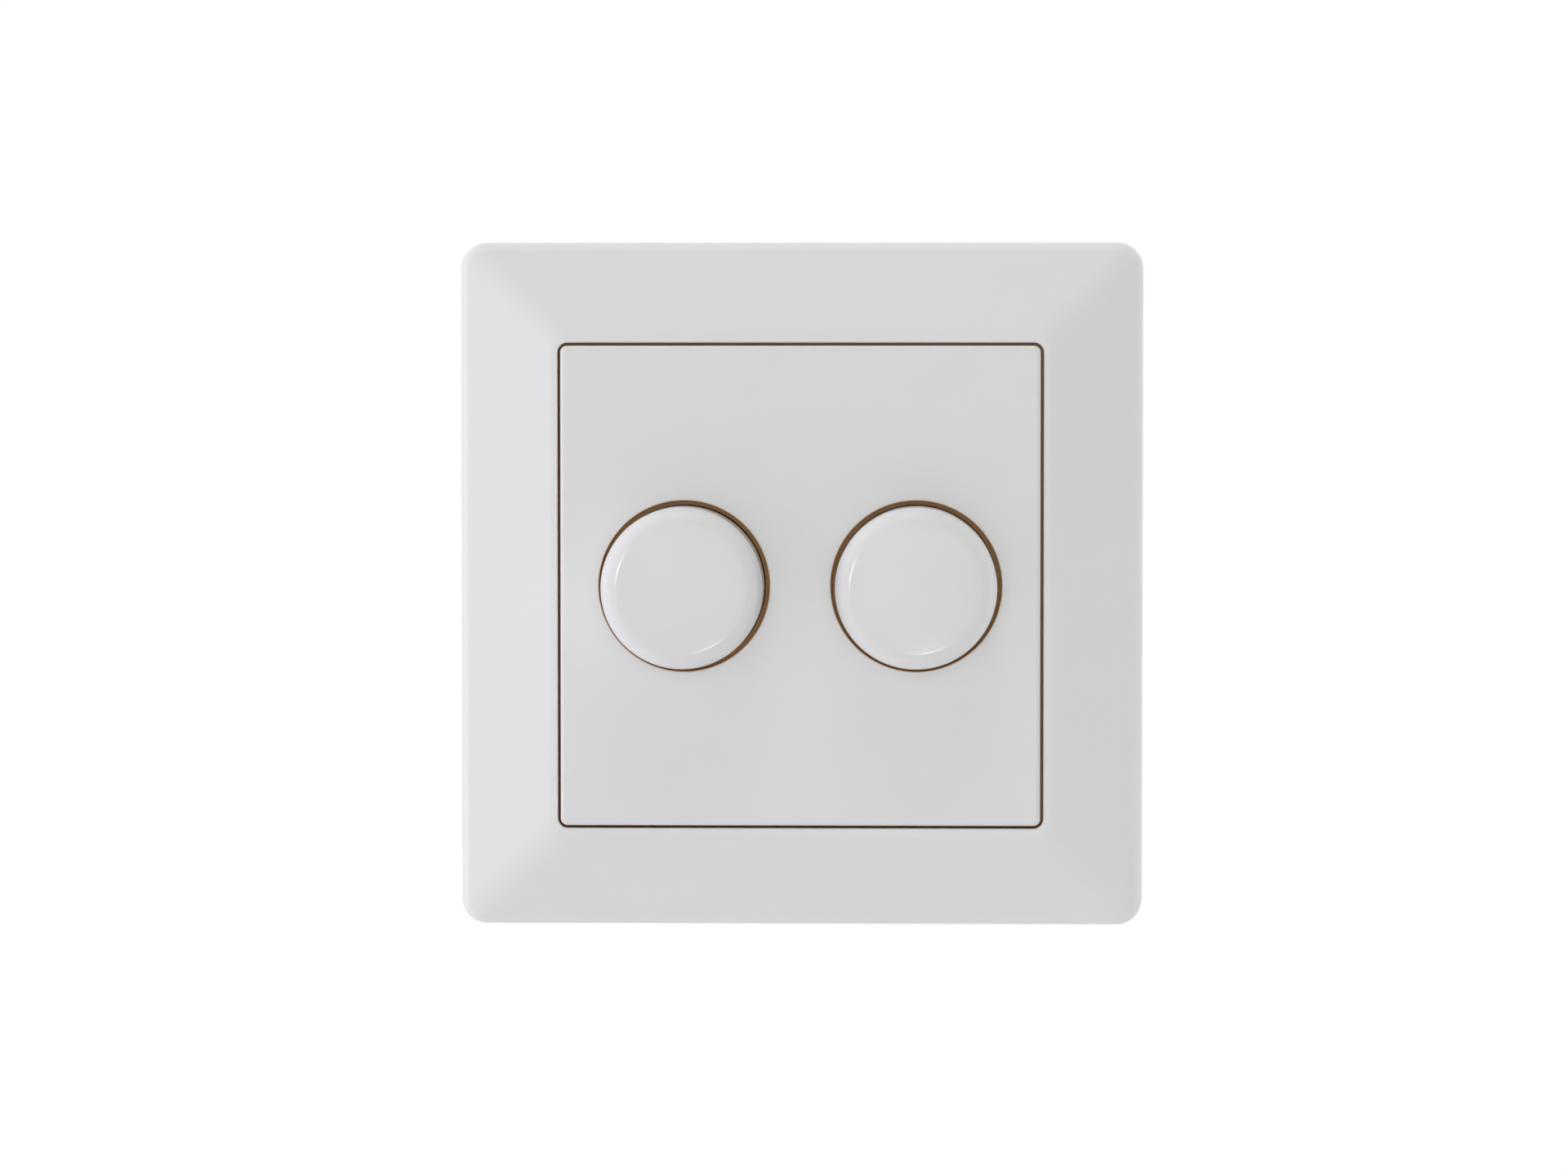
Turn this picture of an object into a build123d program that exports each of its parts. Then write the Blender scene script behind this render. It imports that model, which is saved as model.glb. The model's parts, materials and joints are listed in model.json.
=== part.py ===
from build123d import *
import math
import os

# Twin rotary dimmer for a flush wall box: a bevelled cover frame, a centre plate with two wells, two
# push-and-turn knobs, and the insert behind them with its support plate, housing and electronics.
# Each knob turns a potentiometer and, pushed in, works the on-off switch behind it.
# The pieces are drawn as they lie on a bench: x to the right, y up the wall and z out of the wall
# towards the room, with the origin in the wall plane at the centre. They are stood up when they are
# written, so that the front faces -Y and +Z is up. All sizes are in millimetres and degrees.

# Knobs
knob_spacing = 27.6
knob_diameter = 19.1
knob_stand = 9.6
knob_edge_radius = 2.25
knob_crown = 0.65
knob_wall = 1.4
knob_top = 1.8
knob_rib_thickness = 1.0
hub_diameter = 9.6
push_travel = 1.5
dial_range = 270.0

# Centre plate
knob_gap = 0.6
guide_depth = 2.8
guide_clearance = 0.1
well_wall = 1.2
well_floor = 2.0
well_edge_chamfer = 0.12
plate_border = 3.4
plate_proud = 0.8
plate_wall = 2.0
plate_corner_radius = 0.8
plate_edge_radius = 0.5
plate_rib_thickness = 1.2
plate_rib_depth = 3.0

# Cover frame
plate_gap = 0.35
frame_border = 12.1
frame_corner_radius = 3.2
frame_side_height = 4.8
frame_side_draft = 0.3
frame_edge_radius = 1.7
frame_height = 8.5
frame_wall = 2.0
frame_land = 1.0
frame_land_blend = 3.0
frame_mitre_radius = 9.0
opening_edge_radius = 0.2
collar_wall = 1.6
ledge_height = 5.5
ledge_thickness = 1.3
ledge_width = 1.7
frame_rib_thickness = 1.2
frame_rib_offset = 18.0
frame_rib_clearance = 0.4

# Support plate
support_margin = 3.5
support_thickness = 1.2
support_corner_radius = 4.0
box_screw_spacing = 60.0
box_screw_hole = 4.0
box_slot_angle = 20.0

# Potentiometer bush and nut
bush_diameter = 10.0
bush_flange = 1.0
bush_proud = 0.8
nut_thickness = 2.0
nut_across_flats = 12.0
thread_clearance = 0.05
bush_hole_clearance = 0.15

# Potentiometer shaft
shaft_diameter = 6.0
shaft_flat = 1.5
running_clearance = 0.05
shoulder_diameter = 8.0
shoulder_thickness = 0.8

# Potentiometer rotor, wiper and track
rotor_diameter = 11.6
rotor_thickness = 2.4
rotor_boss_diameter = 9.0
rotor_boss_length = 1.1
stop_height = 0.5
stop_margin = 2.5
wiper_thickness = 0.3
wiper_width = 1.6
wiper_height = 2.6
track_thickness = 0.8
track_tab_width = 10.0
track_tab_length = 2.2
pin_width = 1.0
pin_thickness = 0.5
pin_pitch = 3.6

# Potentiometer case and push switch
case_wall = 1.0
case_step = 1.0
case_floor = 1.0
slider_thickness = 1.5
spring_thickness = 0.3
spring_width = 4.0
contact_thickness = 0.4
contact_width = 2.0

# Housing of the insert
housing_wall = 1.6
housing_room = 0.85
housing_corner_room = 2.6
housing_corner_radius = 4.0
housing_edge_chamfer = 0.8
vent_count = 5
vent_width = 1.5
vent_length = 9.0
vent_pitch = 4.5
case_margin = 2.5
boss_diameter = 6.0
boss_shoulder = 1.0
boss_gap = 3.0
module_screw_diameter = 2.6
module_screw_length = 8.0
module_screw_head_diameter = 4.8
module_screw_head = 1.4

# Circuit board and what it carries
board_thickness = 1.6
board_clearance = 0.4
triac_width = 10.0
triac_length = 9.2
triac_thickness = 4.4
triac_gap = 2.0
lead_width = 0.9
lead_thickness = 0.5
lead_pitch = 2.54
lead_reach = 1.6
pad_thickness = 0.5
pad_border = 1.0
capacitor_width = 13.0
capacitor_depth = 6.0
capacitor_height = 10.5
capacitor_gap = 4.0
fuse_diameter = 5.2
fuse_length = 20.0
fuse_cap_length = 5.0
fuse_cap_wall = 0.3
clip_thickness = 0.4
clip_length = 3.6
choke_diameter = 9.0
choke_height = 6.0
choke_flange = 1.0
choke_waist = 0.5
choke_post_diameter = 4.0
choke_spacing = 22.0

# Terminal block
terminal_count = 3
terminal_pitch = 7.6
terminal_wall = 1.2
terminal_height = 8.0
terminal_depth = 10.6
terminal_recess = 0.4
wire_entry = 3.6
clamp_wall = 0.8
clamp_length = 6.0
terminal_screw_diameter = 3.0
terminal_screw_head_diameter = 4.0
terminal_screw_head = 1.5

# Clearances shared by several pieces
seat_clearance = 0.1
fit_clearance = 0.25
part_gap = 1.2

# Outlines, from the knobs outwards
knob_places = {"left": -knob_spacing / 2, "right": knob_spacing / 2}
knob_radius = knob_diameter / 2
well_radius = knob_radius + knob_gap
well_outer_radius = well_radius + well_wall
plate_size = knob_spacing + 2 * (well_outer_radius + plate_border)
opening_size = plate_size + 2 * plate_gap
opening_corner_radius = plate_corner_radius + plate_gap
frame_size = opening_size + 2 * frame_border
support_size = frame_size - 2 * (frame_wall + support_margin)
bush_radius = bush_diameter / 2
shaft_radius = shaft_diameter / 2
rotor_radius = rotor_diameter / 2
case_cavity = 2 * (rotor_radius + stop_height) + 2 * fit_clearance
case_size = case_cavity + 2 * case_wall
slider_chamber = case_cavity - 2 * case_step
triac_bottom = case_size / 2 + lead_reach + part_gap
pad_half_width = triac_gap / 2 + triac_width + pad_border
pad_top = triac_bottom + triac_length + pad_border
housing_width = knob_spacing + case_size + 2 * (case_margin + housing_wall)
housing_height = 2 * (pad_top + housing_room + housing_wall)
housing_diameter = 2 * (math.hypot(pad_half_width, pad_top) + housing_corner_room + housing_wall)
boss_radius = boss_diameter / 2
boss_circle = housing_diameter / 2 - boss_radius
boss_y = case_size / 2 + boss_gap + boss_radius
boss_x = math.sqrt(boss_circle**2 - boss_y**2)
terminal_width = terminal_count * terminal_pitch + terminal_wall
terminal_bottom = -housing_height / 2 + terminal_recess

# Levels in front of the wall
plate_front = frame_height + plate_proud
guide_front = plate_front - guide_depth
ledge_bottom = ledge_height - ledge_thickness
well_floor_front = support_thickness + well_floor
bush_end = well_floor_front + nut_thickness + bush_proud
knob_bottom = well_floor_front + push_travel + 6 * seat_clearance
knob_front = plate_front + knob_stand
hub_bottom = bush_end + push_travel + 5 * seat_clearance
knob_cavity_top = knob_front - knob_crown - knob_top
shaft_tip = knob_cavity_top - 5 * seat_clearance

# Levels behind the wall
case_front = -bush_flange
rotor_boss_front = case_front - seat_clearance
rotor_front = rotor_boss_front - rotor_boss_length
rotor_back = rotor_front - rotor_thickness
track_front = rotor_back - wiper_height
track_back = track_front - track_thickness
shoulder_front = track_back - seat_clearance
shaft_end = shoulder_front - shoulder_thickness
slider_front = shaft_end - seat_clearance
slider_back = slider_front - slider_thickness
contact_front = slider_back - push_travel - spring_thickness - 2 * seat_clearance
chamber_floor = contact_front - contact_thickness
board_front = chamber_floor - case_floor
board_back = board_front - board_thickness
housing_back = board_back - terminal_height
housing_floor = housing_back + housing_wall


# Plain building blocks, each standing between two levels
def block(outline, low, high):
    return Pos(0, 0, low) * extrude(outline, high - low)


def box_between(x_low, x_high, y_low, y_high, low, high):
    centre = Pos((x_low + x_high) / 2, (y_low + y_high) / 2)
    return block(centre * Rectangle(x_high - x_low, y_high - y_low), low, high)


def disc(radius, low, high):
    return block(Circle(radius), low, high)


def rounded(size, radius):
    return RectangleRounded(size, size, radius)


def square(size):
    return Rectangle(size, size)


def d_section(radius, flat):
    """Round section with one flat at that distance from its axis."""
    return Circle(radius) - Pos(0, flat + radius) * Rectangle(4 * radius, 2 * radius)


def spread(count, pitch):
    """Places of a row of like things, centred on the middle."""
    return [(place - (count - 1) / 2) * pitch for place in range(count)]


def edges_at(shape, level):
    return shape.edges().filter_by(lambda edge: abs(edge.center().Z - level) < 1e-4)


# Front pieces
def bevelled_block(size, corner_radius, side_height, height):
    """Rounded square with drafted sides under four planes that slope up to the flat round the opening."""
    land_half = opening_size / 2 + frame_land
    draft = math.degrees(math.atan2(frame_side_draft, frame_side_height))
    run = (size / 2 - frame_side_draft - land_half) / (height - side_height)
    sides = extrude(rounded(size, corner_radius), height, taper=draft)
    slopes = extrude(square(2 * (land_half + run * height)), height, taper=math.degrees(math.atan(run)))
    return sides & slopes


def is_mitre(edge):
    start, end = edge.position_at(0), edge.position_at(1)
    rises = abs(start.Z - end.Z) > frame_wall / 2
    return rises and all(abs(abs(spot.X) - abs(spot.Y)) < 1e-3 for spot in (start, end))


def cover_frame():
    """Square ring with sloping faces, hollow behind, and a ledge that the centre plate presses on."""
    outside = bevelled_block(frame_size, frame_corner_radius, frame_side_height, frame_height)
    outside = fillet(outside.edges().filter_by(is_mitre), frame_mitre_radius)
    outside = fillet(edges_at(outside, frame_height), frame_land_blend)
    brow = frame_size / 2 - frame_corner_radius
    outside = fillet(
        outside.edges().filter_by(
            lambda edge: frame_side_height - 1e-3 < edge.center().Z < frame_height - frame_wall
            and max(abs(edge.center().X), abs(edge.center().Y)) > brow
        ),
        frame_edge_radius,
    )
    inner_corner = max(frame_corner_radius - frame_wall, frame_wall / 4)
    inner_side = frame_side_height - frame_wall / 2
    hollow = bevelled_block(frame_size - 2 * frame_wall, inner_corner, inner_side, frame_height - frame_wall)
    collar = rounded(opening_size + 2 * collar_wall, opening_corner_radius + collar_wall)
    shell = outside - hollow
    shell += block(collar, ledge_bottom, frame_height - frame_wall / 2)
    shell += frame_ribs() & outside
    shell -= block(rounded(opening_size, opening_corner_radius), ledge_height, plate_front)
    shell -= block(square(opening_size - 2 * ledge_width), 0, plate_front)
    mouth = edges_at(shell, frame_height).filter_by(
        lambda edge: max(abs(edge.center().X), abs(edge.center().Y)) < opening_size / 2 + frame_land / 4
    )
    return fillet(mouth, opening_edge_radius)


def frame_ribs():
    """Two ribs on each side, stepped at the foot to centre the frame on the support plate."""
    collar_side = opening_size / 2 + collar_wall / 2
    outer_side = frame_size / 2 - frame_wall / 2
    step = support_size / 2 + frame_rib_clearance
    foot = support_thickness + frame_rib_clearance
    ribs = Part()
    for turn in range(4):
        for offset in (-frame_rib_offset, frame_rib_offset):
            low = offset - frame_rib_thickness / 2
            high = offset + frame_rib_thickness / 2
            rib = box_between(low, high, collar_side, outer_side, ledge_bottom, frame_height)
            rib += box_between(low, high, step, outer_side, foot, frame_height)
            ribs += Rot(Z=90 * turn) * rib
    return ribs


def centre_plate():
    """Hollow square plate; its two wells guide the knobs lower down and seat on the support plate."""
    body = block(rounded(plate_size, plate_corner_radius), ledge_height, plate_front)
    body = fillet(edges_at(body, plate_front), plate_edge_radius)
    inside = plate_size - 2 * plate_wall
    underside = plate_front - plate_wall
    body -= block(square(inside), ledge_height, underside)
    rib = block(Rectangle(plate_rib_thickness, inside), underside - plate_rib_depth, underside)
    for x in knob_places.values():
        body += Pos(x) * rib
        body += Pos(x) * disc(well_outer_radius, support_thickness, plate_front - plate_wall / 2)
    for x in knob_places.values():
        body -= Pos(x) * disc(well_radius, guide_front, plate_front)
        body -= Pos(x) * disc(knob_radius + guide_clearance, well_floor_front, guide_front)
        body -= Pos(x) * disc(bush_radius + bush_hole_clearance, support_thickness, well_floor_front)
    mouths = edges_at(body, plate_front).filter_by(GeomType.CIRCLE).filter_by(
        lambda edge: abs(edge.radius - well_radius) < 1e-4
    )
    return chamfer(mouths, well_edge_chamfer)


def knob():
    """Cap with a crowned face and a rounded rim, on a ribbed hub that grips the flat of the shaft."""
    inner_radius = knob_radius - knob_wall
    shoulder = knob_front - knob_crown
    section = make_face(
        [
            Line((0, knob_cavity_top), (0, knob_front)),
            TangentArc((0, knob_front), (knob_radius, shoulder), tangent=(1, 0)),
            Line((knob_radius, shoulder), (knob_radius, knob_bottom)),
            Line((knob_radius, knob_bottom), (inner_radius, knob_bottom)),
            Line((inner_radius, knob_bottom), (inner_radius, knob_cavity_top)),
            Line((inner_radius, knob_cavity_top), (0, knob_cavity_top)),
        ]
    )
    rim = section.vertices().sort_by(lambda corner: corner.X + corner.Y)[-1]
    body = revolve(Plane.XZ * fillet(rim, knob_edge_radius), Axis.Z)
    body += disc(hub_diameter / 2, hub_bottom, knob_cavity_top)
    rib = block(Rectangle(2 * inner_radius + knob_wall, knob_rib_thickness), hub_bottom, knob_cavity_top)
    body += rib + Rot(Z=90) * rib
    socket = d_section(shaft_radius + running_clearance, shaft_flat + running_clearance)
    return body - block(socket, hub_bottom, shaft_tip + 2 * seat_clearance)


def plate_nut():
    """Hexagon nut in a well, which clamps the centre plate to the support plate."""
    hexagon = RegularPolygon(nut_across_flats / 2, 6, major_radius=False)
    outline = hexagon - Circle(bush_radius + thread_clearance)
    return block(outline, well_floor_front, well_floor_front + nut_thickness)


# Support plate and housing
def support_plate():
    """Stamped steel plate: two bush holes, two round box-screw holes and two curved levelling slots."""
    outline = rounded(support_size, support_corner_radius)
    for x in knob_places.values():
        outline -= Pos(x) * Circle(bush_radius + bush_hole_clearance)
    half_spacing = box_screw_spacing / 2
    for side in (-1, 1):
        outline -= Pos(side * half_spacing) * Circle(box_screw_hole / 2)
        start = 90 * side - box_slot_angle / 2
        outline -= SlotArc(CenterArc((0, 0), half_spacing, start, box_slot_angle), box_screw_hole)
    for x, y in module_screw_places():
        outline -= Pos(x, y) * Circle(module_screw_diameter / 2 + fit_clearance)
    return block(outline, 0, support_thickness)


def boss_places():
    return [(sx * boss_x, sy * boss_y) for sx in (-1, 1) for sy in (-1, 1)]


def module_screw_places():
    """The two bosses on one diagonal hold the screws."""
    return [(x, y) for x, y in boss_places() if x * y > 0]


def housing_outline(inset):
    """Circle of the wall box cut by the flat sides of the housing, with its corners rounded."""
    sides = Rectangle(housing_width - 2 * inset, housing_height - 2 * inset)
    outline = Circle(housing_diameter / 2 - inset) & sides
    return fillet(outline.vertices(), max(housing_corner_radius - inset, housing_wall / 4))


def module_housing():
    """Moulded cup on the back of the support plate, with stepped bosses that carry the circuit board."""
    body = block(housing_outline(0), housing_back, 0)
    body = chamfer(edges_at(body, housing_back), housing_edge_chamfer)
    body -= block(housing_outline(housing_wall), housing_floor, 0)
    for x, y in boss_places():
        body += Pos(x, y) * disc(boss_radius, housing_floor, board_back)
        body += Pos(x, y) * disc(boss_radius - boss_shoulder, board_back, 0)
    for x, y in module_screw_places():
        pilot = module_screw_diameter / 2 + thread_clearance
        body -= Pos(x, y) * disc(pilot, -module_screw_length - seat_clearance, 0)
    vent = Rot(Z=90) * SlotOverall(vent_length, vent_width)
    for x in spread(vent_count, vent_pitch):
        body -= Pos(x, choke_y()) * block(vent, housing_back, housing_floor)
    side = terminal_width / 2 + fit_clearance
    top = terminal_bottom + terminal_depth + fit_clearance
    return body - box_between(-side, side, -housing_height, top, housing_back, board_back)


def module_screw():
    """Self-tapping screw, its thread left plain, with its head on the support plate."""
    head = disc(module_screw_head_diameter / 2, support_thickness, support_thickness + module_screw_head)
    return head + disc(module_screw_diameter / 2, -module_screw_length, support_thickness)


# Potentiometers and their push switches
def bush():
    """Threaded bush, its thread left plain, on the square flange that closes the case."""
    body = disc(bush_radius, 0, bush_end) + block(square(case_size), case_front, 0)
    return body - disc(shaft_radius + running_clearance, case_front, bush_end)


def shaft():
    """Spindle with a flat for the knob, a round bearing, a flat for the rotor and a retaining shoulder."""
    front_flat = hub_bottom - seat_clearance
    rear_flat = rotor_boss_front + push_travel + 2 * seat_clearance
    section = d_section(shaft_radius, shaft_flat)
    body = block(section, front_flat, shaft_tip)
    body += disc(shaft_radius, rear_flat, front_flat)
    body += block(section, shoulder_front, rear_flat)
    return body + disc(shoulder_diameter / 2, shaft_end, shoulder_front)


def stop_half_angle():
    """Half the angle of the rotor's lug, and of the stop that it meets at each end of its turn."""
    return (180 - dial_range / 2 - stop_margin) / 2


def rotor():
    """Disc that the shaft turns and slides through, with a lug that ends its turn."""
    body = disc(rotor_radius, rotor_back, rotor_front)
    body += disc(rotor_boss_diameter / 2, rotor_front, rotor_boss_front)
    half_angle = stop_half_angle()
    lug_radius = rotor_radius + stop_height
    ends = [Vector(lug_radius, 0).rotate(Axis.Z, 90 + side * half_angle) for side in (-1, 1)]
    rim = CenterArc((0, 0), lug_radius, 90 - half_angle, 2 * half_angle)
    lug = make_face([Line((0, 0), ends[0]), rim, Line(ends[1], (0, 0))])
    body += block(lug, rotor_back, rotor_front)
    hole = d_section(shaft_radius + running_clearance, shaft_flat + running_clearance)
    return body - block(hole, rotor_back, rotor_boss_front)


def wiper():
    """Bent contact strip under the rotor that runs on the track."""
    inner = shaft_radius + 2 * fit_clearance
    foot = rotor_back - wiper_thickness
    tip = track_front + seat_clearance
    arm = wiper_height
    profile = Polyline(
        (-arm, rotor_back),
        (0, rotor_back),
        (arm, tip + wiper_thickness),
        (arm, tip),
        (arm - wiper_thickness, tip),
        (-wiper_thickness, foot),
        (-arm, foot),
        close=True,
    )
    strip = extrude(Plane.YZ * make_face(profile), wiper_width)
    return Pos(inner) * strip


def track():
    """Insulating wafer with the resistive track, and the tab that takes its pins out of the case."""
    outline = square(case_cavity - 2 * seat_clearance)
    reach = case_size / 2 + track_tab_length
    outline += Pos(0, -reach / 2) * Rectangle(track_tab_width, reach)
    outline -= Circle(shaft_radius + fit_clearance)
    return block(outline, track_back, track_front)


def track_pins():
    """Three pins from the tab down to the circuit board."""
    y = -case_size / 2 - track_tab_length / 2
    pins = [
        Pos(step * pin_pitch, y) * block(Rectangle(pin_width, pin_thickness), board_front, track_back)
        for step in (-1, 0, 1)
    ]
    return Compound(pins)


def contact_y():
    return slider_chamber / 2 - fit_clearance - contact_width / 2


def pot_case():
    """Square case: a wide chamber for the rotor, a ledge for the track and a narrow one for the switch."""
    body = block(square(case_size), board_front, case_front)
    body -= block(square(case_cavity), track_back, case_front)
    body -= block(square(slider_chamber), chamber_floor, track_back)
    tab = track_tab_width / 2 + seat_clearance
    body -= box_between(-tab, tab, -case_size, 0, track_back, track_front + seat_clearance)
    stop = (rotor_radius + fit_clearance) * math.sin(math.radians(stop_half_angle()))
    stop_face = -rotor_radius - fit_clearance
    body += box_between(-stop, stop, -case_size / 2, stop_face, rotor_back, rotor_front)
    for side in (-1, 1):
        leg = Rectangle(contact_width + 2 * seat_clearance, contact_thickness + 2 * seat_clearance)
        body -= Pos(0, side * contact_y()) * block(leg, board_front, chamber_floor)
    return body


def switch_slider():
    """Square piston that the end of the shaft pushes into the switch."""
    return block(square(slider_chamber - 2 * seat_clearance), slider_back, slider_front)


def contact_spring():
    """Bowed strip that returns the slider and bridges the two switch contacts."""
    half = contact_y() + contact_width / 2
    crown = slider_back - seat_clearance / 2
    end = contact_front + spring_thickness
    upper = ThreePointArc((-half, end), (0, crown), (half, end))
    lower = ThreePointArc((half, contact_front), (0, crown - spring_thickness), (-half, contact_front))
    ends = [Line(upper @ 1, lower @ 0), Line(lower @ 1, upper @ 0)]
    strip = extrude(Plane.YZ * make_face([upper, lower, *ends]), spring_width / 2, both=True)
    return strip


def switch_contacts():
    """Two contacts on the floor of the switch, each with a leg through it to the circuit board."""
    contacts = []
    for side in (-1, 1):
        pad = block(square(contact_width), chamber_floor, contact_front)
        pad += block(Rectangle(contact_width, contact_thickness), board_front, chamber_floor)
        contacts.append(Pos(0, side * contact_y()) * pad)
    return Compound(contacts)


# Electronics
def circuit_board():
    """Board that sits on the shoulders of the housing's bosses."""
    outline = housing_outline(housing_wall + board_clearance)
    for x, y in boss_places():
        outline -= Pos(x, y) * Circle(boss_radius - boss_shoulder + fit_clearance)
    return block(outline, board_back, board_front)


def triac_x(side):
    return side * (triac_gap + triac_width) / 2


def insulating_pad():
    """Pad between the power switches and the support plate that cools them."""
    low = triac_bottom - pad_border
    return box_between(-pad_half_width, pad_half_width, low, pad_top, -pad_thickness, 0)


def triac():
    """Moulded power switch with three leads bent back to the circuit board."""
    low = triac_bottom
    back = -pad_thickness - triac_thickness
    body = box_between(-triac_width / 2, triac_width / 2, low, low + triac_length, back, -pad_thickness)
    lead_front = back + triac_thickness / 2
    for step in (-1, 0, 1):
        left = step * lead_pitch - lead_width / 2
        right = left + lead_width
        foot = low - lead_reach
        body += box_between(left, right, foot, low, lead_front - lead_thickness, lead_front)
        body += box_between(left, right, foot, foot + lead_thickness, board_front, lead_front)
    return body


def capacitor():
    """Boxed film capacitor standing on the board."""
    body = block(Rectangle(capacitor_width, capacitor_depth), board_front, board_front + capacitor_height)
    y = -case_size / 2 - track_tab_length - part_gap - capacitor_depth / 2
    return Pos(0, y) * chamfer(edges_at(body, board_front + capacitor_height), clip_thickness)


def fuse_axis():
    return board_front + clip_thickness + fuse_diameter / 2


def lie_on_board(shape):
    """Turn a piece of the fuse from upright to lying along y, on its clips."""
    return Pos(0, 0, fuse_axis()) * Rot(X=90) * shape


def fuse_tube():
    """Solid glass tube of the fuse, lying between the potentiometers."""
    half = fuse_length / 2 - fuse_cap_wall
    return lie_on_board(disc(fuse_diameter / 2 - fuse_cap_wall, -half, half))


def fuse_caps():
    """Metal cup on each end of the tube."""
    radius = fuse_diameter / 2
    inside = disc(radius - fuse_cap_wall, 0, fuse_cap_length - fuse_cap_wall)
    cap = Pos(0, 0, fuse_length / 2 - fuse_cap_length) * (disc(radius, 0, fuse_cap_length) - inside)
    return Compound([lie_on_board(cap), lie_on_board(Rot(X=180) * cap)])


def fuse_clips():
    """Two spring clips that hold the caps of the fuse on the board."""
    inner = fuse_diameter / 2
    outer = inner + clip_thickness
    cheek = box_between(-outer, outer, -outer, inner, 0, clip_length) - disc(inner, 0, clip_length)
    cheek -= box_between(-inner, inner, 0, outer, 0, clip_length)
    start = fuse_length / 2 - (fuse_cap_length + clip_length) / 2
    return Compound([lie_on_board(Pos(0, 0, low) * cheek) for low in (start, -start - clip_length)])


def choke_y():
    return choke_diameter / 2 + part_gap


def choke_core():
    """Ferrite drum of a choke, on the back of the board."""
    radius = choke_diameter / 2
    low = board_back - choke_height
    body = disc(choke_post_diameter / 2, low, board_back)
    body += disc(radius, low, low + choke_flange) + disc(radius, board_back - choke_flange, board_back)
    return Pos(0, choke_y()) * body


def choke_winding():
    """Wire wound between the flanges of the drum."""
    outline = Circle(choke_diameter / 2 - choke_waist) - Circle(choke_post_diameter / 2)
    low = board_back - choke_height + choke_flange
    return Pos(0, choke_y()) * block(outline, low, board_back - choke_flange)


# Terminal block
def clamp_height():
    return wire_entry + 2 * clamp_wall


def wire_level():
    return board_back - clamp_height() / 2


def clamp_back():
    return board_back - clamp_height()


def clamp_y():
    """Where the clamps start, behind the wire entries."""
    return terminal_bottom + terminal_wall + 2 * seat_clearance


def terminal_block():
    """Block at the foot of the housing: wire entries below, screws at the back, a cell for each clamp."""
    half = terminal_width / 2
    top = terminal_bottom + terminal_depth
    body = box_between(-half, half, terminal_bottom, top, housing_back, board_back)
    cell = clamp_height() / 2 + seat_clearance
    entry = wire_entry / 2
    clamp_middle = clamp_y() + clamp_length / 2
    near = clamp_y() - seat_clearance
    far = clamp_y() + clamp_length + seat_clearance
    low = wire_level() - entry
    screw_hole = disc(terminal_screw_head_diameter / 2 + fit_clearance, housing_back, clamp_back())
    for x in spread(terminal_count, terminal_pitch):
        body -= box_between(x - cell, x + cell, near, far, clamp_back() - seat_clearance, board_back)
        body -= box_between(x - entry, x + entry, terminal_bottom, near, low, low + wire_entry)
        body -= Pos(x, clamp_middle) * screw_hole
    return body


def terminal_clamps():
    """Brass cages: the wire goes through along y and the screw comes in from the back."""
    half = clamp_height() / 2
    entry = wire_entry / 2
    cage = box_between(-half, half, 0, clamp_length, clamp_back(), board_back)
    cage -= box_between(-entry, entry, 0, clamp_length, wire_level() - entry, wire_level() + entry)
    hole = terminal_screw_diameter / 2 + thread_clearance
    cage -= Pos(0, clamp_length / 2) * disc(hole, clamp_back(), wire_level())
    return Compound([Pos(x, clamp_y()) * cage for x in spread(terminal_count, terminal_pitch)])


def terminal_screws():
    """Slotted screws, their threads left plain, standing a little open in the clamps."""
    head_front = clamp_back() - fit_clearance
    head_back = head_front - terminal_screw_head
    radius = terminal_screw_head_diameter / 2
    screw = disc(radius, head_back, head_front)
    screw += disc(terminal_screw_diameter / 2, head_front, wire_level() - wire_entry / 4)
    slot = Rectangle(2 * radius, terminal_wall / 2)
    screw -= block(slot, head_back, head_back + terminal_screw_head / 2)
    middle = clamp_y() + clamp_length / 2
    return Compound([Pos(x, middle) * screw for x in spread(terminal_count, terminal_pitch)])


# Assembly
def pieces():
    made = {
        "cover_frame": cover_frame(),
        "centre_plate": centre_plate(),
        "plate_nuts": Compound([Pos(x) * plate_nut() for x in knob_places.values()]),
        "support_plate": support_plate(),
        "module_housing": module_housing(),
        "module_screws": Compound([Pos(x, y) * module_screw() for x, y in module_screw_places()]),
        "circuit_board": circuit_board(),
        "insulating_pad": insulating_pad(),
        "fuse_tube": fuse_tube(),
        "fuse_caps": fuse_caps(),
        "fuse_clips": fuse_clips(),
        "terminal_block": terminal_block(),
        "terminal_clamps": terminal_clamps(),
        "terminal_screws": terminal_screws(),
    }
    at_each_knob = {
        "knob": knob(),
        "bush": bush(),
        "shaft": shaft(),
        "rotor": rotor(),
        "wiper": wiper(),
        "track": track(),
        "track_pins": track_pins(),
        "pot_case": pot_case(),
        "switch_slider": switch_slider(),
        "contact_spring": contact_spring(),
        "switch_contacts": switch_contacts(),
    }
    for side, x in knob_places.items():
        for name, shape in at_each_knob.items():
            made[f"{side}_{name}"] = Pos(x) * shape
    for side, sign in (("left", -1), ("right", 1)):
        made[f"{side}_triac"] = Pos(triac_x(sign)) * triac()
        made[f"{side}_capacitor"] = Pos(sign * (capacitor_gap + capacitor_width) / 2) * capacitor()
        made[f"{side}_choke_core"] = Pos(sign * choke_spacing / 2) * choke_core()
        made[f"{side}_choke_winding"] = Pos(sign * choke_spacing / 2) * choke_winding()
    return made


os.makedirs("parts", exist_ok=True)
for name, shape in pieces().items():
    export_step(Rot(X=90) * shape, f"parts/{name}.step")
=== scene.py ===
import json
import math

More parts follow.
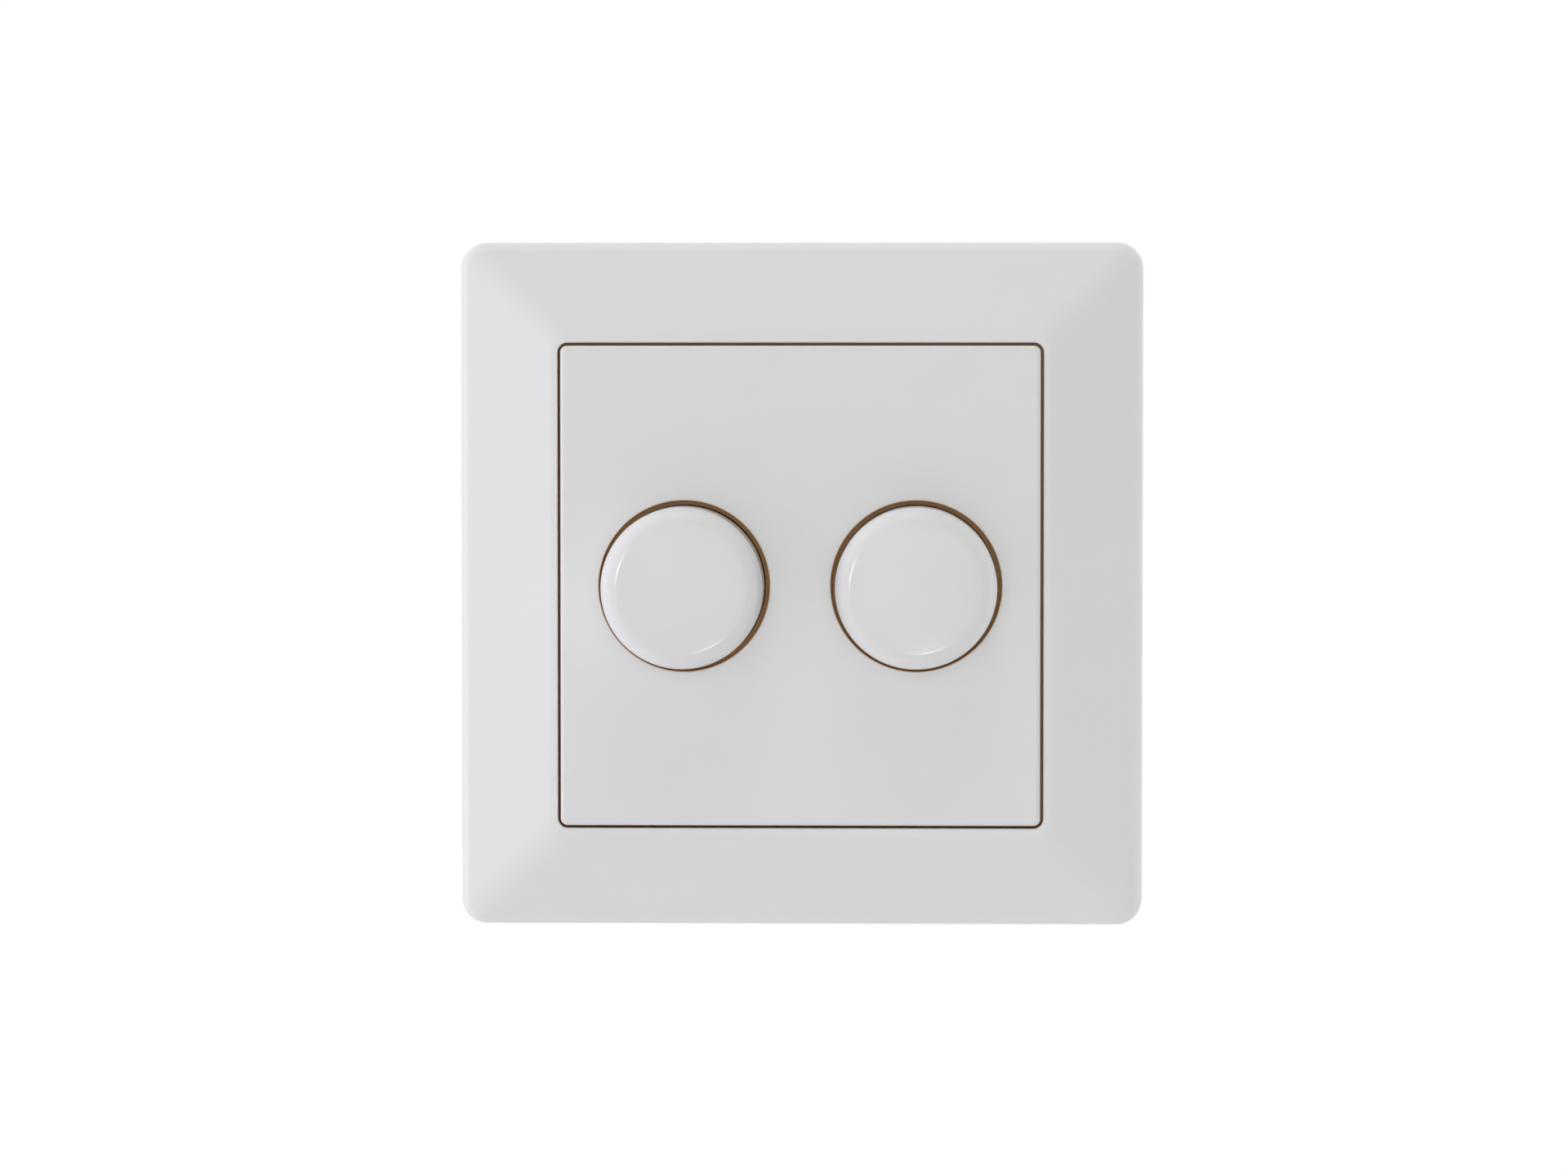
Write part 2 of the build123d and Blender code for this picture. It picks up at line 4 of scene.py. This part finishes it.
import bpy
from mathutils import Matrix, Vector


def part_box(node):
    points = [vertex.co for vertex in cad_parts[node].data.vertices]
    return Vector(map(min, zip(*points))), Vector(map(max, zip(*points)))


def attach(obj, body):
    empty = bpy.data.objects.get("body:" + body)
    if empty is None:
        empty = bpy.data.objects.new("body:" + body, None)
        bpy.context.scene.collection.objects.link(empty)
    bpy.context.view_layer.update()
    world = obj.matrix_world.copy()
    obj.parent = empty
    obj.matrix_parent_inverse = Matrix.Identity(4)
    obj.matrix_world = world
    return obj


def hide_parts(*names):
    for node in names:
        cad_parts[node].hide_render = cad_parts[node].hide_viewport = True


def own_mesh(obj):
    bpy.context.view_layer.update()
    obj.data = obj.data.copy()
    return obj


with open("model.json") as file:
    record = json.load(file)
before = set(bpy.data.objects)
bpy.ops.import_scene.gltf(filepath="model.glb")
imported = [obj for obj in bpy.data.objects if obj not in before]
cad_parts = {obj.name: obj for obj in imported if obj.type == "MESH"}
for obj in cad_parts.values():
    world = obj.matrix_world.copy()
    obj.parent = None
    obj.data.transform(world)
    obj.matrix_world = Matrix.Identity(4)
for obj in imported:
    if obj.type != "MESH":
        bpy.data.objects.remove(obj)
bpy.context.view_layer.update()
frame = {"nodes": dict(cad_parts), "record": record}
nodes = frame["nodes"]

# Places on the front, in metres: x to the right, z up, and y growing from the room into the wall
PLATE_GAP = 0.00035
KNOB_GAP = 0.0006
GUIDE_DEPTH = 0.0028
LEDGE_FRONT = -0.0055
FRAME_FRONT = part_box("cover_frame")[0].y
PLATE_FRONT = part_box("centre_plate")[0].y
PLATE_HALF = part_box("centre_plate")[1].x
OPENING_HALF = PLATE_HALF + PLATE_GAP
GUIDE_FRONT = PLATE_FRONT + GUIDE_DEPTH
KNOB_INNER, KNOB_OUTER = (corner.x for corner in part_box("right_knob"))
KNOB_X = (KNOB_INNER + KNOB_OUTER) / 2
WELL_RADIUS = (KNOB_OUTER - KNOB_INNER) / 2 + KNOB_GAP

# Warm brown painted shade in the seams, standing in for the shadow deep in the gaps, and where it fades in
# and out, in metres from the places above
SEAM_PAINTED_SHADE = (0.55, 0.29, 0.09, 1.0)
OPENING_FADE = (0.0003, 0.0001)
FRAME_FADE = (0.0003, 0.0008)
PLATE_SIDE_FADE = (-0.0002, -0.0001)
PLATE_FADE = (-0.0001, 0.0005)
WELL_SIDE_FADE = (0.0002, 0.00005)
WELL_FADE = (-0.00002, 0.00012)
KNOB_FADE = (-0.0002, 0.0006)
PAINTED_SHADE_END_FADE = (0.0006, 0.0003)

# Welding and smoothing of the solids
WELD_DISTANCE = 2e-6
SHARP_ANGLE = math.radians(32)
FLAT_FACE_WEIGHT = 90

# Noise of the finishes: scales per metre, the part of its range that counts, and bump depths in metres
TONE_SCALE = 45.0
GLOSS_SCALE = 220.0
PATCH_SCALE = 90.0
STREAK_SCALE = 700.0
NOISE_SPAN = (0.3, 0.7)
PATCH_SPAN = (0.35, 0.65)
SMOOTH_DETAIL = 2.0
GRAIN_DEPTH = 0.00004
STREAK_DEPTH = 0.00003

# How far the roughness wanders to either side
PLASTIC_GLOSS = (-0.03, 0.04)
METAL_GLOSS = (-0.07, 0.09)

# Studio: strength of the surrounding light and its lean to the left and up, and the point the lamps face
WORLD_LEVEL = 0.44
WORLD_LEAN = (-0.18, 0.0, 0.04)
WHITE = (1.0, 1.0, 1.0)
COOL_WHITE = (0.87, 0.85, 1.0)
LIT_POINT = Vector((0.0, -0.01, 0.0))


# Shading of the solids: one welded skin, with only the real edges left sharp
def smoothing_group():
    tree = bpy.data.node_groups.new("one_skin", "GeometryNodeTree")
    tree.interface.new_socket("Geometry", in_out="INPUT", socket_type="NodeSocketGeometry")
    tree.interface.new_socket("Geometry", in_out="OUTPUT", socket_type="NodeSocketGeometry")
    make, link = tree.nodes.new, tree.links.new
    start, end = make("NodeGroupInput"), make("NodeGroupOutput")
    weld = make("GeometryNodeMergeByDistance")
    weld.inputs["Distance"].default_value = WELD_DISTANCE
    drop = make("GeometryNodeRemoveAttribute")
    drop.inputs["Name"].default_value = "custom_normal"
    angle = make("GeometryNodeInputMeshEdgeAngle")
    soft = make("FunctionNodeCompare")
    soft.data_type = "FLOAT"
    soft.operation = "LESS_THAN"
    soft.inputs[1].default_value = SHARP_ANGLE
    faces, edges = make("GeometryNodeSetShadeSmooth"), make("GeometryNodeSetShadeSmooth")
    faces.domain, edges.domain = "FACE", "EDGE"
    link(start.outputs[0], weld.inputs["Geometry"])
    link(weld.outputs[0], drop.inputs["Geometry"])
    link(drop.outputs[0], faces.inputs["Geometry"])
    link(faces.outputs[0], edges.inputs["Geometry"])
    link(angle.outputs["Unsigned Angle"], soft.inputs[0])
    link(soft.outputs[0], edges.inputs["Shade Smooth"])
    link(edges.outputs[0], end.inputs[0])
    return tree


def smooth_solids(solids):
    group = smoothing_group()
    for solid in solids:
        skin = solid.modifiers.new("one_skin", "NODES")
        skin.node_group = group
        weights = solid.modifiers.new("flat_faces_first", "WEIGHTED_NORMAL")
        weights.mode = "FACE_AREA"
        weights.weight = FLAT_FACE_WEIGHT
        weights.keep_sharp = True


# Material building
class Nodes:
    """Short words for the nodes of one shader tree."""

    def __init__(self, tree):
        self.tree = tree

    def make(self, kind):
        return self.tree.nodes.new(kind)

    def link(self, source, target):
        self.tree.links.new(source, target)

    def math(self, operation, first, second=None):
        node = self.make("ShaderNodeMath")
        node.operation = operation
        for socket, value in zip(node.inputs, (first, second)):
            if value is None:
                continue
            if isinstance(value, (int, float)):
                socket.default_value = value
            else:
                self.link(value, socket)
        return node.outputs[0]

    def seen(self):
        """1 for what the camera, a reflection or a look through glass sees, and 0 for light on the part."""
        path = self.make("ShaderNodeLightPath")
        seen = path.outputs["Is Camera Ray"]
        for ray in ("Is Glossy Ray", "Is Transmission Ray"):
            seen = self.math("MAXIMUM", seen, path.outputs[ray])
        return seen

    def choose(self, factor, first, second, target):
        node = self.make("ShaderNodeMixShader")
        for source, socket in zip((factor, first, second), node.inputs):
            self.link(source, socket)
        self.link(node.outputs[0], target)


class Surface(Nodes):
    """A principled material, and what feeds it."""

    def __init__(self, name, roughness, metallic=0.0):
        self.material = bpy.data.materials.new(name)
        self.material.use_nodes = True
        super().__init__(self.material.node_tree)
        self.bsdf = self.tree.nodes["Principled BSDF"]
        self.bsdf.inputs["Roughness"].default_value = roughness
        self.bsdf.inputs["Metallic"].default_value = metallic
        self.place = self.make("ShaderNodeTexCoord").outputs["Object"]

    def noise(self, scale, detail=3.0, stretch=None):
        texture = self.make("ShaderNodeTexNoise")
        texture.inputs["Scale"].default_value = scale
        texture.inputs["Detail"].default_value = detail
        place = self.place
        if stretch:
            mapping = self.make("ShaderNodeMapping")
            mapping.inputs["Scale"].default_value = stretch
            self.link(place, mapping.inputs["Vector"])
            place = mapping.outputs[0]
        self.link(place, texture.inputs["Vector"])
        return texture.outputs["Fac"]

    def ramp(self, value, low, high, to_low=0.0, to_high=1.0):
        node = self.make("ShaderNodeMapRange")
        node.interpolation_type = "SMOOTHSTEP"
        node.inputs["From Min"].default_value = low
        node.inputs["From Max"].default_value = high
        node.inputs["To Min"].default_value = to_low
        node.inputs["To Max"].default_value = to_high
        self.link(value, node.inputs["Value"])
        return node.outputs["Result"]

    def fade(self, value, place, offsets):
        start, end = offsets
        return self.ramp(value, place + start, place + end)

    def mix(self, factor, first, second):
        node = self.make("ShaderNodeMix")
        node.data_type = "RGBA"
        self.link(factor, node.inputs[0])
        for index, value in ((6, first), (7, second)):
            if isinstance(value, tuple):
                node.inputs[index].default_value = value
            else:
                self.link(value, node.inputs[index])
        return node.outputs[2]

    def axes(self):
        node = self.make("ShaderNodeSeparateXYZ")
        self.link(self.place, node.inputs[0])
        return node.outputs

    def bump(self, height, strength, distance):
        node = self.make("ShaderNodeBump")
        node.inputs["Strength"].default_value = strength
        node.inputs["Distance"].default_value = distance
        self.link(height, node.inputs["Height"])
        self.link(node.outputs[0], self.bsdf.inputs["Normal"])

    def colour(self, source):
        self.link(source, self.bsdf.inputs["Base Color"])

    def gloss(self, texture, roughness, spread):
        """Roughness that wanders with a noise."""
        low, high = spread
        wander = self.ramp(texture, *NOISE_SPAN, roughness + low, roughness + high)
        self.link(wander, self.bsdf.inputs["Roughness"])


def shade(colour, factor):
    return tuple(min(1.0, part * factor) for part in colour) + (1.0,)


def moulded(name, colour, roughness, grain, strength, spread, painted_shade_mask=None):
    """Moulded plastic: slow tone drift, a fine moulding grain and, in its seams, a warm brown painted shade
    that stands in for their shadow.
    """
    s = Surface(name, roughness)
    drift = s.noise(TONE_SCALE, SMOOTH_DETAIL)
    tone = s.mix(drift, shade(colour, 1.0 - spread), shade(colour, 1.0 + spread))
    # Painted shade: the warm brown goes over the plastic's own tone wherever the seam mask reaches
    if painted_shade_mask:
        tone = s.mix(painted_shade_mask(s), tone, SEAM_PAINTED_SHADE)
    s.colour(tone)
    s.gloss(s.noise(GLOSS_SCALE, SMOOTH_DETAIL), roughness, PLASTIC_GLOSS)
    s.bump(s.noise(grain, SMOOTH_DETAIL), strength, GRAIN_DEPTH)
    return s.material


def metal(name, colour, roughness, tint=None, stretch=(1.0, 1.0, 1.0)):
    """Plated or turned metal: fine streaks along one way, and patches of a second tone."""
    darker, brighter, streak_strength = 0.94, 1.05, 0.08
    s = Surface(name, roughness, metallic=1.0)
    patches = s.ramp(s.noise(PATCH_SCALE), *PATCH_SPAN)
    patch_tone = shade(tint, 1.0) if tint else shade(colour, brighter)
    s.colour(s.mix(patches, shade(colour, darker), patch_tone))
    streaks = s.noise(STREAK_SCALE, stretch=stretch)
    s.gloss(streaks, roughness, METAL_GLOSS)
    s.bump(streaks, streak_strength, STREAK_DEPTH)
    return s.material


# Where the painted seam shade goes, worked out from the place on the piece
def frame_painted_shade(s):
    # Painted shade: warm brown on the walls of the frame's opening, deeper than the frame's front
    x, y, z = s.axes()
    reach = s.math("MAXIMUM", s.math("ABSOLUTE", x), s.math("ABSOLUTE", z))
    inside = s.fade(reach, OPENING_HALF, OPENING_FADE)
    deep = s.math("MULTIPLY", s.fade(y, FRAME_FRONT, FRAME_FADE), s.fade(y, LEDGE_FRONT, PAINTED_SHADE_END_FADE))
    return s.math("MULTIPLY", inside, deep)


def plate_painted_shade(s):
    # Painted shade: warm brown on the plate's rim and down the walls of the knob wells
    x, y, z = s.axes()
    across, up = s.math("ABSOLUTE", x), s.math("ABSOLUTE", z)
    rim = s.fade(s.math("MAXIMUM", across, up), PLATE_HALF, PLATE_SIDE_FADE)
    rim = s.math("MULTIPLY", rim, s.fade(y, FRAME_FRONT, PLATE_FADE))
    offset = s.math("SUBTRACT", across, KNOB_X)
    square = s.math("ADD", s.math("MULTIPLY", offset, offset), s.math("MULTIPLY", z, z))
    well = s.fade(s.math("SQRT", square), WELL_RADIUS, WELL_SIDE_FADE)
    deep = s.math("MULTIPLY", s.fade(y, PLATE_FRONT, WELL_FADE), s.fade(y, GUIDE_FRONT, PAINTED_SHADE_END_FADE))
    return s.math("MAXIMUM", rim, s.math("MULTIPLY", well, deep))


def knob_painted_shade(s):
    # Painted shade: warm brown on the knob's side deeper than the plate's front, down in the well
    y = s.axes()[1]
    return s.fade(y, PLATE_FRONT, KNOB_FADE)


def circuit_laminate(name):
    """Solder-mask green with the paler lines of its copper tracks."""
    green, track_green = (0.03, 0.12, 0.05, 1.0), (0.06, 0.22, 0.09, 1.0)
    track_scale, track_stretch, track_edge = 260.0, (1.0, 1.0, 0.25), (0.52, 0.56)
    s = Surface(name, roughness=0.45)
    tracks = s.ramp(s.noise(track_scale, detail=0.0, stretch=track_stretch), *track_edge)
    s.colour(s.mix(tracks, green, track_green))
    s.bump(tracks, strength=0.3, distance=STREAK_DEPTH)
    return s.material


def clear_glass(name):
    """Glass with a faint tint and ripple."""
    tint, clear = (0.93, 0.95, 0.95, 1.0), (0.97, 0.98, 0.98, 1.0)
    tint_scale, ripple_scale, ripple_depth = 300.0, 150.0, 0.00002
    s = Surface(name, roughness=0.04)
    s.bsdf.inputs["Transmission Weight"].default_value = 1.0
    s.bsdf.inputs["IOR"].default_value = 1.5
    s.colour(s.mix(s.noise(tint_scale), tint, clear))
    s.bump(s.noise(ripple_scale), strength=0.03, distance=ripple_depth)
    return s.material


def wound_wire(name):
    """Lacquered copper turns, lying side by side along the drum, with painted shade darker in the grooves
    between them.
    """
    wire_pitch, wire_depth = 0.0005, 0.0001
    # Painted shade: the darker copper tone fills the grooves between the turns
    groove_shade, copper = (0.22, 0.08, 0.03, 1.0), (0.62, 0.28, 0.13, 1.0)
    s = Surface(name, roughness=0.3, metallic=1.0)
    y = s.axes()[1]
    turns = s.math("SINE", s.math("MULTIPLY", y, 2 * math.pi / wire_pitch))
    s.colour(s.mix(s.ramp(turns, -1.0, 1.0), groove_shade, copper))
    s.bump(turns, strength=0.8, distance=wire_depth)
    return s.material


# Colour, roughness, grain scale, grain strength, tone spread and, on the front pieces, where the warm
# painted seam shade goes
PLASTICS = {
    "frame_plastic": ((0.684, 0.684, 0.681), 0.32, 1500.0, 0.02, 0.006, frame_painted_shade),
    "plate_plastic": ((0.658, 0.658, 0.655), 0.32, 1500.0, 0.02, 0.006, plate_painted_shade),
    "knob_plastic": ((0.660, 0.660, 0.657), 0.17, 1500.0, 0.008, 0.004, knob_painted_shade),
    "housing_plastic": ((0.50, 0.51, 0.52), 0.5, 2600.0, 0.35, 0.03),
    "terminal_plastic": ((0.68, 0.68, 0.66), 0.42, 2600.0, 0.2, 0.02),
    "case_plastic": ((0.06, 0.06, 0.065), 0.45, 2600.0, 0.3, 0.08),
    "rotor_plastic": ((0.72, 0.69, 0.60), 0.4, 2600.0, 0.2, 0.03),
    "slider_plastic": ((0.66, 0.66, 0.64), 0.4, 2600.0, 0.2, 0.03),
    "track_laminate": ((0.22, 0.12, 0.055), 0.5, 1200.0, 0.3, 0.12),
    "pad_rubber": ((0.42, 0.42, 0.41), 0.7, 1800.0, 0.4, 0.04),
    "triac_epoxy": ((0.035, 0.035, 0.038), 0.5, 2200.0, 0.4, 0.1),
    "capacitor_plastic": ((0.55, 0.40, 0.08), 0.38, 1800.0, 0.2, 0.04),
    "choke_ferrite": ((0.05, 0.05, 0.052), 0.65, 2200.0, 0.5, 0.15),
}

# Colour, roughness and, where they matter, the tone of the patches and the stretch of the streaks
METALS = {
    "plate_steel": ((0.66, 0.64, 0.59), 0.36, (0.63, 0.60, 0.53)),
    "nut_steel": ((0.70, 0.69, 0.66), 0.3),
    "screw_steel": ((0.66, 0.66, 0.65), 0.3),
    "cap_metal": ((0.74, 0.73, 0.70), 0.25),
    "clip_brass": ((0.72, 0.70, 0.62), 0.3),
    "clamp_brass": ((0.78, 0.60, 0.30), 0.28),
    "bush_brass": ((0.72, 0.62, 0.40), 0.34),
    "shaft_aluminium": ((0.74, 0.74, 0.75), 0.3, None, (1.0, 12.0, 1.0)),
    "contact_brass": ((0.80, 0.64, 0.34), 0.28),
    "spring_steel": ((0.66, 0.66, 0.65), 0.24),
}

OTHER_FINISHES = {
    "board_laminate": circuit_laminate,
    "fuse_glass": clear_glass,
    "winding_copper": wound_wire,
}


def finishes():
    made = {name: moulded(name, *look) for name, look in PLASTICS.items()}
    made.update({name: metal(name, *look) for name, look in METALS.items()})
    made.update({name: finish(name) for name, finish in OTHER_FINISHES.items()})
    return made


def dress_solids():
    made = finishes()
    for sub in frame["record"]["subparts"]:
        solid = nodes[sub["node"]]
        solid.data.materials.clear()
        solid.data.materials.append(made[sub["material_slot"]])


# Copies of the contact springs
def bowed_strips():
    """Each switch's bowed contact strip, copied onto a mesh of its own and carried with the insert, in place
    of the hidden spring.
    """
    strips = []
    for side in ("left", "right"):
        spring = f"{side}_contact_spring"
        strip = bpy.data.objects.new(f"{side}_bowed_strip", nodes[spring].data.copy())
        bpy.context.scene.collection.objects.link(strip)
        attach(strip, "insert")
        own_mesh(strip)
        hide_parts(spring)
        strips.append(strip)
    return strips


# Studio: soft light that is a little stronger from the left, a white surround and a pale floor
def studio_world():
    world = bpy.data.worlds.new("studio")
    bpy.context.scene.world = world
    world.use_nodes = True
    s = Nodes(world.node_tree)
    light = s.tree.nodes["Background"]
    lean = s.make("ShaderNodeVectorMath")
    lean.operation = "DOT_PRODUCT"
    lean.inputs[1].default_value = WORLD_LEAN
    s.link(s.make("ShaderNodeTexCoord").outputs["Generated"], lean.inputs[0])
    s.link(s.math("ADD", lean.outputs["Value"], WORLD_LEVEL), light.inputs["Strength"])
    light.inputs["Color"].default_value = WHITE + (1.0,)
    surround = s.make("ShaderNodeBackground")
    surround.inputs["Strength"].default_value = 1.0
    surround.inputs["Color"].default_value = WHITE + (1.0,)
    s.choose(s.seen(), light.outputs[0], surround.outputs[0], s.tree.nodes["World Output"].inputs["Surface"])


def soft_light(name, place, size, power, colour=WHITE, mirrored=True, lighting=True):
    """Soft box facing the part, which may light it, be mirrored in it, or both."""
    lamp = bpy.data.lights.new(name, "AREA")
    lamp.shape = "RECTANGLE"
    lamp.size, lamp.size_y = size
    lamp.energy = power
    lamp.color = colour
    holder = bpy.data.objects.new(name, lamp)
    bpy.context.scene.collection.objects.link(holder)
    holder.location = place
    holder.rotation_euler = (LIT_POINT - Vector(place)).to_track_quat("-Z", "Y").to_euler()
    holder.visible_glossy = mirrored
    holder.visible_diffuse = lighting


def studio_lamps():
    """Wide lamps light the part, and two narrow strips only draw the faint arcs on the knobs."""
    soft_light("window", (-0.597, -0.0518, 0.042), (0.16, 0.5), 1.74, COOL_WHITE, mirrored=False)
    soft_light("top", (0.0, -0.0623, 0.598), (0.3, 0.5), 1.36, mirrored=False)
    soft_light("front_fill", (0.012, -0.72, 0.02), (0.3, 0.3), 1.54, mirrored=False)
    soft_light("back_fill", (0.0, 0.72, 0.10), (0.3, 0.3), 1.5, mirrored=False)
    soft_light("rear_right", (0.550, 0.235, 0.05), (0.3, 0.5), 1.2, mirrored=False)
    soft_light("right", (0.597, -0.0518, 0.0), (0.16, 0.5), 0.20)
    soft_light("left_strip", (-0.275, -0.585, 0.05), (0.02, 0.11), 0.30, lighting=False)
    soft_light("low_strip", (0.055, -0.61, -0.21), (0.07, 0.010), 0.18, lighting=False)


def pale_floor():
    """Pale floor well below the part, which fades into the white surround."""
    half, level = 0.5, -0.2
    fade_start, fade_end = 0.16, 0.46
    pale, paler, cloud_scale = (0.84, 0.84, 0.83, 1.0), (0.87, 0.87, 0.86, 1.0), 8.0
    mesh = bpy.data.meshes.new("floor")
    corners = [(-half, -half, level), (half, -half, level), (half, half, level), (-half, half, level)]
    mesh.from_pydata(corners, [], [(0, 1, 2, 3)])
    floor = bpy.data.objects.new("floor", mesh)
    bpy.context.scene.collection.objects.link(floor)
    s = Surface("floor", roughness=0.9)
    x, y = s.axes()[:2]
    far = s.math("SQRT", s.math("ADD", s.math("MULTIPLY", x, x), s.math("MULTIPLY", y, y)))
    s.colour(s.mix(s.noise(cloud_scale), pale, paler))
    white = s.make("ShaderNodeEmission")
    faded = s.math("MULTIPLY", s.ramp(far, fade_start, fade_end), s.seen())
    s.choose(faded, s.bsdf.outputs[0], white.outputs[0], s.tree.nodes["Material Output"].inputs["Surface"])
    mesh.materials.append(s.material)


def camera():
    """A little above and to the right of the part, from far enough away for its slight perspective."""
    distance, azimuth, elevation = 0.684, math.radians(1.41), math.radians(2.18)
    pivot = Vector((0.0, -0.0045, 0.0))
    target = Vector((-0.00205, -0.0045, -0.00041))
    data = bpy.data.cameras.new("camera")
    data.sensor_width = 36.0
    data.lens = 131.2
    data.clip_start, data.clip_end = 0.01, 20.0
    view = bpy.data.objects.new("camera", data)
    bpy.context.scene.collection.objects.link(view)
    side = math.sin(azimuth) * math.cos(elevation)
    toward = -math.cos(azimuth) * math.cos(elevation)
    view.location = pivot + distance * Vector((side, toward, math.sin(elevation)))
    view.rotation_euler = (target - view.location).to_track_quat("-Z", "Y").to_euler()
    bpy.context.scene.camera = view


dress_solids()
smooth_solids([*nodes.values(), *bowed_strips()])
studio_world()
studio_lamps()
pale_floor()
camera()
bpy.context.scene.view_settings.view_transform = "Standard"
